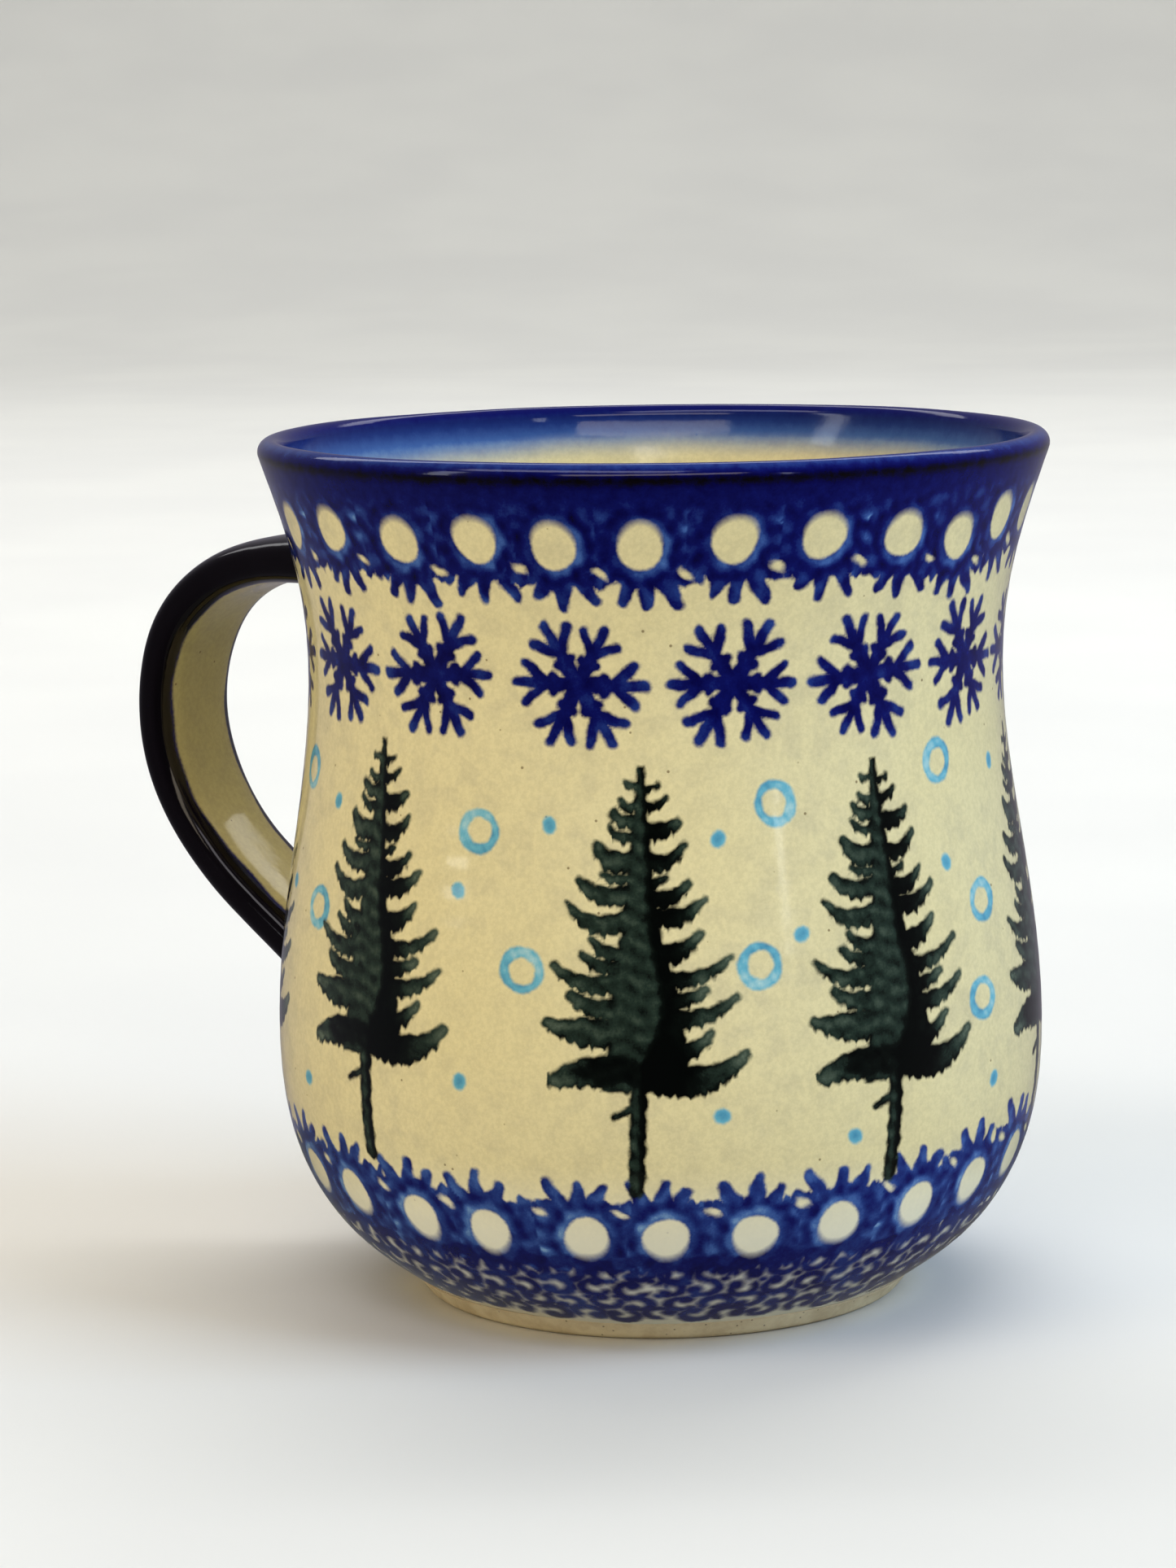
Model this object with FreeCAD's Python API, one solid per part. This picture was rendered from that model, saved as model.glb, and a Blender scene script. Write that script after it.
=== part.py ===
import FreeCAD, Part

import math
import os

# Stoneware mug with a flared lip, a waist, a round belly and a strap handle.
# Frame: origin at the centre of the foot ring's resting face, +Z up, handle towards -X.
# Every size is in millimetres.

V = FreeCAD.Vector
AXIS = V(0, 0, 1)
ORIGIN = V(0, 0, 0)

# ---- pot: driving dimensions --------------------------------------------------------------

HEIGHT = 99.0
FOOT_RADIUS = 27.7          # outside of the foot ring where it meets the table
FOOT_HEIGHT = 2.2           # bare clay below the glaze line
FOOT_TOP_RADIUS = 29.2      # outside of the foot ring at the glaze line
FOOT_WIDTH = 3.6            # width of the ring's section at the table
FOOT_EDGE = 0.6             # rounding of the ring's two lower edges
GLAZE = 0.4                 # thickness of every glaze coat

# Outside of the glazed wall, (radius, height), from the foot ring to the lip.
OUTER_WALL = [
    (FOOT_TOP_RADIUS, FOOT_HEIGHT),
    (36.6, 7.9),
    (42.2, 17.0),
    (44.2, 30.0),
    (43.0, 46.0),
    (40.0, 68.0),
    (40.35, 80.0),
    (41.8, 87.0),
    (44.0, 94.0),
    (45.0, 96.9),
]
LIP_CROWN = (43.55, HEIGHT)

# Inside of the glazed wall, from the lip to the edge of the flat floor.
INNER_WALL = [
    (41.9, 97.6),
    (39.6, 91.0),
    (36.9, 80.0),
    (36.5, 68.0),
    (39.3, 46.0),
    (40.4, 30.0),
    (38.2, 17.5),
    (32.4, 9.2),
    (24.0, 6.6),
]
RIM_BAND_OUTSIDE = 8        # OUTER_WALL point where the cobalt rim band begins
RIM_BAND_INSIDE = 1         # INNER_WALL point where it ends
FOOT_LEAN = 1.2             # how far the wall leans further out as it leaves the foot ring

# How many points carry a spline or an arc of the glaze's underside.
WALL_POINTS = 14
RIM_POINTS = 5
ARC_POINTS = 3

# ---- handle: driving dimensions -----------------------------------------------------------

# Middle line of the strap in the XZ plane, from its upper to its lower root:
# (distance from the mug's axis, height, width of the strap, thickness of the strap).
# The first and the last station lie inside the wall.
STRAP = [
    (37.0, 82.5, 20.0, 7.0),
    (44.0, 82.9, 18.6, 6.3),
    (50.5, 82.4, 17.0, 5.9),
    (57.3, 80.3, 16.0, 5.7),
    (63.1, 75.6, 15.4, 5.6),
    (66.2, 68.7, 15.0, 5.5),
    (66.6, 61.0, 15.0, 5.5),
    (64.1, 53.2, 15.0, 5.5),
    (59.1, 46.3, 15.2, 5.5),
    (53.0, 41.0, 15.8, 5.6),
    (46.8, 36.4, 16.8, 5.9),
    (39.8, 31.2, 18.0, 6.4),
]
SECTION_POINTS = 16         # points round one section of the strap
SECTION_POWER = 3.2         # of its superellipse: 2 is an ellipse, more is squarer

SLIP_GAP = 0.7              # slip between the clay wall and the end of the strap
SLIP_REACH = 2.4            # how far the slip climbs along the strap
SLIP_SPREAD = 1.1           # how far it spreads beyond the strap on the wall
SLIP_DIVE = 0.25            # how deep its feathered edge starts inside the strap
SLIP_DEPTH = 3.0            # how far its blank starts inside the wall
SLIP_STEPS = 6
HALVINGS = 40               # halvings that find where the strap's line crosses the wall


# ---- small helpers ------------------------------------------------------------------------

def point(pair):
    """A (radius, height) pair as a point of the XZ plane."""
    return V(pair[0], 0, pair[1])


def line(a, b):
    return Part.LineSegment(a, b).toShape()


def arc(a, through, b):
    return Part.Arc(a, through, b).toShape()


def smooth(points, start, end):
    """A spline edge through points, with its direction given at both ends."""
    curve = Part.BSplineCurve()
    start = V(start).normalize()
    end = V(end).normalize()
    curve.interpolate(Points=points, InitialTangent=start, FinalTangent=end, Scale=False)
    return curve.toShape()


def ends(edge):
    return edge.valueAt(edge.FirstParameter), edge.valueAt(edge.LastParameter)


def split(edge, at):
    """The two parts of a spline edge, before and after its point nearest to at."""
    where = edge.Curve.parameter(at)
    first = edge.Curve.toShape(edge.FirstParameter, where)
    second = edge.Curve.toShape(where, edge.LastParameter)
    return first, second


def beneath(edge, count):
    """The edge that lies one glaze coat to the left of an edge, inside the clay."""
    first, last = edge.FirstParameter, edge.LastParameter
    moved, headings = [], []
    for i in range(count):
        at = first + (last - first) * i / (count - 1)
        along = edge.tangentAt(at)
        moved.append(edge.valueAt(at) + V(-along.z, 0, along.x) * GLAZE)
        headings.append(along)
    if count == ARC_POINTS:
        return arc(*moved)
    return smooth(moved, headings[0], headings[-1])


def solid_of(edges):
    """The solid that a closed section in the XZ plane sweeps round the mug's axis."""
    wire = Part.Wire([e for group in Part.sortEdges(edges) for e in group])
    swept = Part.Face(wire).revolve(ORIGIN, AXIS, 360)
    return Part.Solid(swept) if swept.ShapeType != "Solid" else swept


# ---- the skin of the pot, as edges of the XZ plane, from the foot to the middle of the floor

def skin():
    """The glazed surface, in three runs, with the edge beneath each edge of each run."""
    wall_out = [point(p) for p in OUTER_WALL]
    wall_in = [point(p) for p in INNER_WALL]
    lip = arc(wall_out[-1], point(LIP_CROWN), wall_in[0])
    foot_heading = wall_out[1] - wall_out[0] + V(FOOT_LEAN, 0, 0)
    outer = smooth(wall_out, foot_heading, lip.tangentAt(lip.FirstParameter))
    inner = smooth(wall_in, lip.tangentAt(lip.LastParameter), V(-1, 0, 0))
    middle = V(0, 0, wall_in[-1].z)
    outer_low, outer_high = split(outer, wall_out[RIM_BAND_OUTSIDE])
    inner_high, inner_low = split(inner, wall_in[RIM_BAND_INSIDE])
    deep = V(0, 0, -GLAZE)
    return {
        "outside": ([outer_low], [beneath(outer_low, WALL_POINTS)]),
        "rim": (
            [outer_high, lip, inner_high],
            [
                beneath(outer_high, RIM_POINTS),
                beneath(lip, ARC_POINTS),
                beneath(inner_high, RIM_POINTS),
            ],
        ),
        "inside": (
            [inner_low, line(wall_in[-1], middle)],
            [beneath(inner_low, WALL_POINTS), line(wall_in[-1] + deep, middle + deep)],
        ),
    }


def coat(over, under):
    """A glaze coat between the edges of the skin and the edges beneath them."""
    start_over, start_under = ends(over[0])[0], ends(under[0])[0]
    end_over, end_under = ends(over[-1])[1], ends(under[-1])[1]
    return solid_of(over + under + [line(start_over, start_under), line(end_over, end_under)])


def clay_body(runs):
    """The wall and floor of bare stoneware beneath the glaze."""
    under = [edge for name in ("outside", "rim", "inside") for edge in runs[name][1]]
    corner = point(OUTER_WALL[0])
    foot_middle = V(0, 0, FOOT_HEIGHT)
    return solid_of(
        under
        + [
            line(foot_middle, corner),
            line(corner, ends(under[0])[0]),
            line(ends(under[-1])[1], foot_middle),
        ]
    )


def filled(edges):
    """Everything within a line of wall edges, as one solid with no hollow."""
    low, high = ends(edges[0])[0], ends(edges[-1])[1]
    return solid_of(
        edges + [line(V(0, 0, low.z), low), line(high, V(0, 0, high.z)),
                 line(V(0, 0, low.z), V(0, 0, high.z))]
    )


def foot_ring():
    inner = FOOT_RADIUS - FOOT_WIDTH
    ring = solid_of(
        [
            line(V(inner, 0, 0), V(FOOT_RADIUS, 0, 0)),
            line(V(FOOT_RADIUS, 0, 0), V(FOOT_TOP_RADIUS, 0, FOOT_HEIGHT)),
            line(V(FOOT_TOP_RADIUS, 0, FOOT_HEIGHT), V(inner, 0, FOOT_HEIGHT)),
            line(V(inner, 0, FOOT_HEIGHT), V(inner, 0, 0)),
        ]
    )
    low_edges = [e for e in ring.Edges if e.BoundBox.ZMax < 0.01]
    return ring.makeFillet(FOOT_EDGE, low_edges)


def base_glaze():
    """The glazed disc in the recess, inside the foot ring."""
    return Part.makeCylinder(FOOT_RADIUS - FOOT_WIDTH, GLAZE, V(0, 0, FOOT_HEIGHT - GLAZE))


# ---- handle -------------------------------------------------------------------------------

def strap_line():
    """The strap's middle line, with the handle towards -X."""
    curve = Part.BSplineCurve()
    curve.interpolate([V(-s[0], 0, s[1]) for s in STRAP])
    return curve


def strap_size(curve, at):
    """The strap's width and thickness at a parameter of its middle line."""
    knots = [curve.parameter(V(-s[0], 0, s[1])) for s in STRAP]
    i = max(k for k in range(len(knots) - 1) if knots[k] <= at or k == 0)
    share = (at - knots[i]) / (knots[i + 1] - knots[i])
    return [STRAP[i][n] + share * (STRAP[i + 1][n] - STRAP[i][n]) for n in (2, 3)]


def section(curve, at, width, thickness):
    """One closed section of the strap, square to its middle line."""
    centre = curve.value(at)
    along = curve.tangent(at)[0]
    across = V(0, 1, 0)
    outward = V(along.z, 0, -along.x)
    power = 2.0 / SECTION_POWER
    points = []
    for i in range(SECTION_POINTS):
        turn = 2 * math.pi * i / SECTION_POINTS
        side = math.copysign(abs(math.cos(turn)) ** power, math.cos(turn)) * width / 2
        up = math.copysign(abs(math.sin(turn)) ** power, math.sin(turn)) * thickness / 2
        points.append(centre + across * side + outward * up)
    ring = Part.BSplineCurve()
    ring.interpolate(Points=points, PeriodicFlag=True)
    return Part.Wire([ring.toShape()])


def strap_blank(curve):
    """The whole strap, with both roots still inside the wall."""
    knots = [curve.parameter(V(-s[0], 0, s[1])) for s in STRAP]
    sections = [section(curve, at, s[2], s[3]) for at, s in zip(knots, STRAP)]
    return Part.makeLoft(sections, True)


def wall_crossing(curve, wall, low, high):
    """The parameter between low, inside the wall, and high, outside, where they meet."""
    for _ in range(HALVINGS):
        half = (low + high) / 2
        if wall.isInside(curve.value(half), 1e-7, True):
            low = half
        else:
            high = half
    return low


def slip_blank(curve, wall, inside_at, outside_at):
    """A concave collar of slip round one root of the strap, not yet cut to the wall."""
    crossing = wall_crossing(curve, wall, inside_at, outside_at)
    length = curve.length(min(inside_at, outside_at), max(inside_at, outside_at))
    per_mm = (outside_at - inside_at) / length
    sections = []
    for i in range(SLIP_STEPS):
        out = -SLIP_DEPTH + (SLIP_DEPTH + SLIP_REACH) * i / (SLIP_STEPS - 1)
        climbed = min(max(out / SLIP_REACH, 0.0), 1.0)
        grow = (SLIP_SPREAD + SLIP_DIVE) * (1 - climbed) ** 2 - SLIP_DIVE
        at = crossing + out * per_mm
        width, thickness = strap_size(curve, at)
        sections.append(section(curve, at, width + 2 * grow, thickness + 2 * grow))
    return Part.makeLoft(sections, True)


# ---- build --------------------------------------------------------------------------------

def build():
    runs = skin()
    body = clay_body(runs)
    outside_coat = coat(*runs["outside"])
    clay_within = filled(runs["outside"][1])
    slip_within = clay_within.makeOffsetShape(SLIP_GAP, 1e-4)

    curve = strap_line()
    knots = [curve.parameter(V(-s[0], 0, s[1])) for s in STRAP]
    strap = strap_blank(curve).cut(slip_within)
    upper = slip_blank(curve, clay_within, knots[0], knots[1])
    lower = slip_blank(curve, clay_within, knots[-1], knots[-2])
    upper = upper.cut(clay_within).cut(strap)
    lower = lower.cut(clay_within).cut(strap)
    outside_coat = outside_coat.cut(upper).cut(lower)
    return {
        "stoneware_body": body,
        "foot_ring": foot_ring(),
        "outer_glaze": outside_coat,
        "inner_glaze": coat(*runs["inside"]),
        "rim_band": coat(*runs["rim"]),
        "base_glaze": base_glaze(),
        "handle_strap": strap,
        "upper_handle_slip": upper,
        "lower_handle_slip": lower,
    }


def main():
    os.makedirs("parts", exist_ok=True)
    for name, shape in build().items():
        solids = shape.Solids
        box = shape.BoundBox
        print(f"{name}: {len(solids)} solid, valid {shape.isValid()}, "
              f"{shape.Volume / 1000:.2f} cm3, x {box.XMin:.1f} to {box.XMax:.1f}, "
              f"y {box.YMin:.1f} to {box.YMax:.1f}, z {box.ZMin:.1f} to {box.ZMax:.1f}")
        shape.exportStep(f"parts/{name}.step")


main()
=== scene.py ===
import math

import bpy
import numpy as np
from mathutils import Matrix, Vector


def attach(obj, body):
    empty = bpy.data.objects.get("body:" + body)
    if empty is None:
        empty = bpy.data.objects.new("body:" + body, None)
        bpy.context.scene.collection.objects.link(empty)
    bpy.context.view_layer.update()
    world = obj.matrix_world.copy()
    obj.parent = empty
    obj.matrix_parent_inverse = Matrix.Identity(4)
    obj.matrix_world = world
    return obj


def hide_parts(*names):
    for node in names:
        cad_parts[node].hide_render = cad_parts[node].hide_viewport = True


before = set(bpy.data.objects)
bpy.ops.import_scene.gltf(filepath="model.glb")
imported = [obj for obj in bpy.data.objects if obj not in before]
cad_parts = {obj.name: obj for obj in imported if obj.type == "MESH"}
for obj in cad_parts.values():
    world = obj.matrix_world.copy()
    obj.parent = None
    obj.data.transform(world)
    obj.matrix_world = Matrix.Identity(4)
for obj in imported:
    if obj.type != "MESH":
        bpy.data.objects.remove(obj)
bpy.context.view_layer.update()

# Stoneware mug: the turned pot, its strap handle and its stamped decoration.
# Shapes are worked out in millimetres in the CAD frame, and scaled to metres when a mesh is made.

MM = 0.001
FULL_TURN = 2 * math.pi
BODY = "root"


# ---- section of the pot, as in the CAD nodes ----------------------------------------------

OUTER_WALL = [
    (29.2, 2.2),
    (36.6, 7.9),
    (42.2, 17.0),
    (44.2, 30.0),
    (43.0, 46.0),
    (40.0, 68.0),
    (40.35, 80.0),
    (41.8, 87.0),
    (44.0, 94.0),
    (45.0, 96.9),
]
LIP_CROWN = (43.55, 99.0)
INNER_WALL = [
    (41.9, 97.6),
    (39.6, 91.0),
    (36.9, 80.0),
    (36.5, 68.0),
    (39.3, 46.0),
    (40.4, 30.0),
    (38.2, 17.5),
    (32.4, 9.2),
    (24.0, 6.6),
]
FOOT_LEAN = 1.2             # how far the wall leans further out as it leaves the foot ring
RIM_BAND_OUTSIDE = 94.0     # height of the rim band's lower edge, outside
RIM_BAND_INSIDE = 91.0      # the same, inside
FOOT_RADIUS = 27.7
FOOT_WIDTH = 3.6
RECESS_HEIGHT = 1.8         # height of the glazed recess under the base
FINE = 0.1                  # spacing of the points on a section
GRID = 0.27                 # spacing of the painted surface's mesh
POT_RADIUS = 44.0           # about the widest part of the pot, to space its mesh by


def unit(v):
    v = np.asarray(v, float)
    return v / np.linalg.norm(v, axis=-1, keepdims=True)


def clamped_spline(points, start, end, step):
    """Closely spaced points of the smooth curve through points, with both end directions given."""
    p = np.array(points, float)
    h = np.linalg.norm(np.diff(p, axis=0), axis=1)
    last = len(p) - 1
    rows = np.eye(len(p))
    right = np.zeros_like(p)
    right[0] = unit(start)
    right[last] = unit(end)
    for i in range(1, last):
        rows[i, i - 1: i + 2] = h[i], 2 * (h[i - 1] + h[i]), h[i - 1]
        before = (p[i] - p[i - 1]) / h[i - 1]
        after = (p[i + 1] - p[i]) / h[i]
        right[i] = 3 * (h[i] * before + h[i - 1] * after)
    slopes = np.linalg.solve(rows, right)
    out = []
    for i in range(last):
        t = np.linspace(0, 1, max(2, int(h[i] / step)), endpoint=False)[:, None]
        out.append(
            (2 * t**3 - 3 * t**2 + 1) * p[i]
            + (t**3 - 2 * t**2 + t) * h[i] * slopes[i]
            + (3 * t**2 - 2 * t**3) * p[i + 1]
            + (t**3 - t**2) * h[i] * slopes[i + 1]
        )
    return np.vstack(out + [p[last:]])


def arc_points(a, through, b, count):
    """Points of the circle from a to b by way of through, and the directions at both ends."""
    a, m, b = (np.array(v, float) for v in (a, through, b))
    rows = 2 * np.array([m - a, b - a])
    centre = np.linalg.solve(rows, [m @ m - a @ a, b @ b - a @ a])
    radius = np.linalg.norm(a - centre)
    start, _, end = np.unwrap([math.atan2(p[1] - centre[1], p[0] - centre[0]) for p in (a, m, b)])
    turns = np.linspace(start, end, count)
    points = centre + radius * np.stack([np.cos(turns), np.sin(turns)], 1)
    way = math.copysign(1, end - start)
    heading = [(-way * math.sin(t), way * math.cos(t)) for t in (start, end)]
    return points, heading


class Section:
    """A section of a turned surface: radius and height by distance along it."""

    def __init__(self, points):
        self.points = points
        gaps = np.linalg.norm(np.diff(points, axis=0), axis=1)
        self.s = np.concatenate([[0], np.cumsum(gaps)])
        self.length = self.s[-1]

    def at(self, s):
        return np.interp(s, self.s, self.points[:, 0]), np.interp(s, self.s, self.points[:, 1])

    def outward(self, s):
        """The section's outward normal, with the section running up the outside of the pot."""
        r0, z0 = self.at(s - 0.15)
        r1, z1 = self.at(s + 0.15)
        length = np.hypot(r1 - r0, z1 - z0)
        return (z1 - z0) / length, -(r1 - r0) / length

    def find(self, height, low=0.0, high=None):
        """The distance along at which the section passes a height, between low and high."""
        s = np.linspace(low, self.length if high is None else high, 20001)
        return s[np.argmin(abs(self.at(s)[1] - height))]


def pot_section():
    """The whole glazed skin: up the outside, over the lip, down the inside to the floor's middle."""
    lip, (lip_start, lip_end) = arc_points(OUTER_WALL[-1], LIP_CROWN, INNER_WALL[0], 80)
    foot = (OUTER_WALL[1][0] - OUTER_WALL[0][0] + FOOT_LEAN, OUTER_WALL[1][1] - OUTER_WALL[0][1])
    outside = clamped_spline(OUTER_WALL, foot, lip_start, FINE)
    inside = clamped_spline(INNER_WALL, lip_end, (-1, 0), FINE)
    floor_edge, floor_height = INNER_WALL[-1]
    floor = [(r, floor_height) for r in np.linspace(floor_edge, 0.0, 100)[1:]]
    return Section(np.vstack([outside, lip[1:-1], inside, floor])), Section(outside)


pot, outside_only = pot_section()
S_RIM = outside_only.find(RIM_BAND_OUTSIDE)
S_LIP = outside_only.length
S_BAND = pot.find(RIM_BAND_INSIDE, S_LIP + 5, S_LIP + 20)


def wall_radius(z):
    """Outside radius of the wall at a height."""
    return np.interp(z, outside_only.points[:, 1], outside_only.points[:, 0])


# ---- hand-made unevenness -----------------------------------------------------------------

def unevenness(angle, s):
    """How far the glaze surface lies inside its true shape, in mm, from 0 to 0.25."""
    turning = 0.05 * np.sin(2 * angle + 0.7 + s / 60) + 0.035 * np.sin(3 * angle + s / 17 + 1.9)
    dips = 0.02 * np.sin(7 * angle - s / 9) + 0.012 * np.sin(11 * angle + s / 5 + 0.4)
    tool = 0.006 * np.sin(s * 1.9 + np.sin(3 * angle))
    return 0.125 + turning + dips + tool


def skin(angle, s, section=pot, rough=1.0):
    """Points of a turned skin, in mm, at angles about the axis and distances along its section.

    rough is its share of the hand-made unevenness.
    """
    r, z = section.at(s)
    out_r, out_z = section.outward(s)
    depth = rough * unevenness(angle, s)
    r = r - out_r * depth
    z = z - out_z * depth
    return np.stack([r * np.cos(angle), r * np.sin(angle), z], -1)


def skin_normal(angle, s, section=pot, rough=1.0):
    tiny_angle, tiny_s = 0.002, 0.08
    along = skin(angle, s + tiny_s, section, rough) - skin(angle, s - tiny_s, section, rough)
    round_it = skin(angle + tiny_angle, s, section, rough) - skin(angle - tiny_angle, s, section, rough)
    return unit(np.cross(round_it, along))


# ---- pigment shapes: signed distances in mm, positive inside ------------------------------

FAR = 9.0                   # stands for "nowhere near an edge"
EDGE_BLEED = 0.25           # how far a pigment edge blurs into the glaze, in mm


def wrapped(angle):
    return (angle + math.pi) % FULL_TURN - math.pi


def stroke(x, y, a, b, start, end):
    """A brush stroke from a to b, whose half width goes from start to end."""
    dx, dy = b[0] - a[0], b[1] - a[1]
    t = np.clip(((x - a[0]) * dx + (y - a[1]) * dy) / (dx * dx + dy * dy), 0, 1)
    return start + (end - start) * t - np.hypot(x - a[0] - t * dx, y - a[1] - t * dy)


def bent_stroke(x, y, a, bend, b, widths, parts=6):
    """A curved brush stroke; widths are its half widths at the start, the middle and the end."""
    t = np.linspace(0, 1, parts + 1)
    px = (1 - t) ** 2 * a[0] + 2 * t * (1 - t) * bend[0] + t * t * b[0]
    py = (1 - t) ** 2 * a[1] + 2 * t * (1 - t) * bend[1] + t * t * b[1]
    half = np.interp(t, [0, 0.5, 1], widths)
    out = np.full(x.shape, -FAR)
    for i in range(parts):
        piece = stroke(x, y, (px[i], py[i]), (px[i + 1], py[i + 1]), half[i], half[i + 1])
        out = np.maximum(out, piece)
    return out


def ripple(x, y, seed, size):
    """A smooth, uneven number from about -1 to 1, with bumps about size mm across."""
    k = FULL_TURN / (2 * size)
    return (
        np.sin(k * (x + 0.6 * y) + 1.7 * seed)
        + np.sin(k * (1.27 * y - 0.5 * x) + 2.3 * seed + 1)
        + 0.7 * np.sin(k * (1.9 * x + 1.1 * y) + 0.9 * seed + 2)
    ) / 2.2


def turned_by(x, y, degrees):
    c, s = math.cos(math.radians(degrees)), math.sin(math.radians(degrees))
    return c * x + s * y, c * y - s * x


# Snowflake: one arm, (start along, start across, end along, end across, half widths).
FLAKE_STROKES = [
    (0.3, 0.0, 3.0, 0.0, 0.90, 0.92),
    (3.0, 0.0, 7.0, 0.0, 0.72, 0.60),
    (3.6, 0.0, 5.9, 2.1, 0.66, 0.56),
    (3.6, 0.0, 5.9, -2.1, 0.66, 0.56),
    (1.9, 0.0, 2.8, 0.85, 0.55, 0.55),
    (1.9, 0.0, 2.8, -0.85, 0.55, 0.55),
]


def snowflake(x, y, seed):
    """Ink edge and depth of a six-armed snowflake."""
    x = x + 0.12 * ripple(x, y, seed, 1.6)
    y = y + 0.12 * ripple(y, x, seed + 5, 1.6)
    ink = np.full(x.shape, -FAR)
    for arm in range(6):
        slant = 3.0 * math.sin(4.1 * seed + 1.9 * arm)
        stretch = 1 + 0.05 * math.sin(2.7 * seed + 2.6 * arm)
        along, across = turned_by(x / stretch, y / stretch, 60 * arm + slant)
        for a0, c0, a1, c1, wide, narrow in FLAKE_STROKES:
            ink = np.maximum(ink, stroke(along, across, (a0, c0), (a1, c1), wide, narrow))
    rho = np.hypot(x, y)
    depth = 1.08 + 0.13 * ripple(x, y, seed, 2.4) - 0.09 * np.clip(rho - 4.5, 0, 3)
    return ink, depth


# Sun stamp: lashes as (angle in degrees, reach of the tip from the middle of the eye).
SUN_LASHES = [
    (219, 6.6), (248, 6.6), (273, 7.0), (303, 8.0), (325, 6.9), (347, 6.2),
    (14, 6.3), (40, 6.1), (66, 6.2), (93, 6.4), (121, 6.6), (148, 6.3), (172, 6.1), (196, 6.0),
]
SUN_BODY = 4.75             # radius of the inked disc
SUN_EYE = 2.5               # radius of the bare dot in its middle
LASH_ROOT = 3.6             # distance of a lash's root from the sun's middle
LASH_WIDTHS = (1.20, 0.62)  # half widths of a lash at its root and its tip
# Between two suns the ink is one sheet, down to SUN_SHEET below the eyes' middle.
SUN_SHEET = 4.2
SUN_SHEET_REACH = 6.8       # and this far to each side of each sun
SUN_FLECK = (4.9, -3.0)     # a small bare fleck between two suns
# Watery smears beside each sun: (x, y, half length, half height, how much thinner).
SUN_SMEARS = [(5.3, 1.8, 0.9, 0.40, 0.70), (5.4, 3.5, 0.7, 0.55, 0.40), (5.5, -0.4, 0.8, 0.50, 0.40)]


def sun(x, y, seed, sheet_top):
    """Ink edge, bare spots' edge, depth and bleed of the sun stamp, its lashes all round."""
    turn = np.arctan2(y, x)
    round_off = 0.12 * np.sin(2 * turn + seed) + 0.07 * np.sin(3 * turn + 2 * seed)
    eye = SUN_EYE + round_off - np.hypot(x, y)
    x = x + 0.20 * ripple(x, y, seed, 1.8)
    y = y + 0.20 * ripple(y, x, seed + 3, 1.8)
    rho = np.hypot(x, y)
    ink = SUN_BODY + 0.15 * np.sin(5 * turn + seed) - rho
    for k, (angle, reach) in enumerate(SUN_LASHES):
        way = math.radians(angle + 3 * math.sin(1.3 * seed + k))
        reach = reach + 0.25 * math.sin(2.1 * seed + 3 * k)
        lean = way + 0.10 * math.sin(k)
        root = (LASH_ROOT * math.cos(lean), LASH_ROOT * math.sin(lean))
        tip = ((reach - 0.5) * math.cos(way), (reach - 0.5) * math.sin(way))
        ink = np.maximum(ink, stroke(x, y, root, tip, *LASH_WIDTHS))
    ragged = 0.35 * np.sin(2.1 * x + seed) + 0.2 * np.sin(4.7 * x + 2 * seed)
    sheet = np.minimum(y + SUN_SHEET + ragged, sheet_top - y + ragged)
    ink = np.maximum(ink, np.minimum(SUN_SHEET_REACH - abs(x), sheet))
    along, across = turned_by(x - SUN_FLECK[0], y - SUN_FLECK[1], -28 + 8 * math.sin(seed))
    fleck = 0.40 * (1 - np.hypot(along / 0.85, across / 0.42))
    toward = 0.5 + 0.5 * np.cos(turn + 0.6 + 0.4 * math.sin(seed))
    halo = toward * np.exp(-(((rho - 2.9) / 0.65) ** 2))
    ring = np.exp(-(((rho - 3.9) / 0.60) ** 2))
    wisps = np.clip(rho - 3.2, 0, 1.5) * np.sin(13 * turn + 2 * np.sin(rho + seed))
    depth = 0.92 - 0.46 * halo + 0.22 * ring + 0.14 * ripple(x, y, seed, 1.8) + 0.08 * wisps
    for smear_x, smear_y, length, height, thinner in SUN_SMEARS:
        gap = ((x - smear_x) / length) ** 2 + ((y - smear_y) / height) ** 2
        depth = depth - thinner * (0.8 + 0.3 * math.sin(seed + smear_y)) * np.exp(-gap)
    above = np.clip(y / 2.5, 0, 1)
    bleed = EDGE_BLEED + 0.55 * above * np.exp(-(((rho - SUN_EYE) / 0.8) ** 2))
    return ink, np.maximum(eye, fleck), depth, bleed


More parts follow.
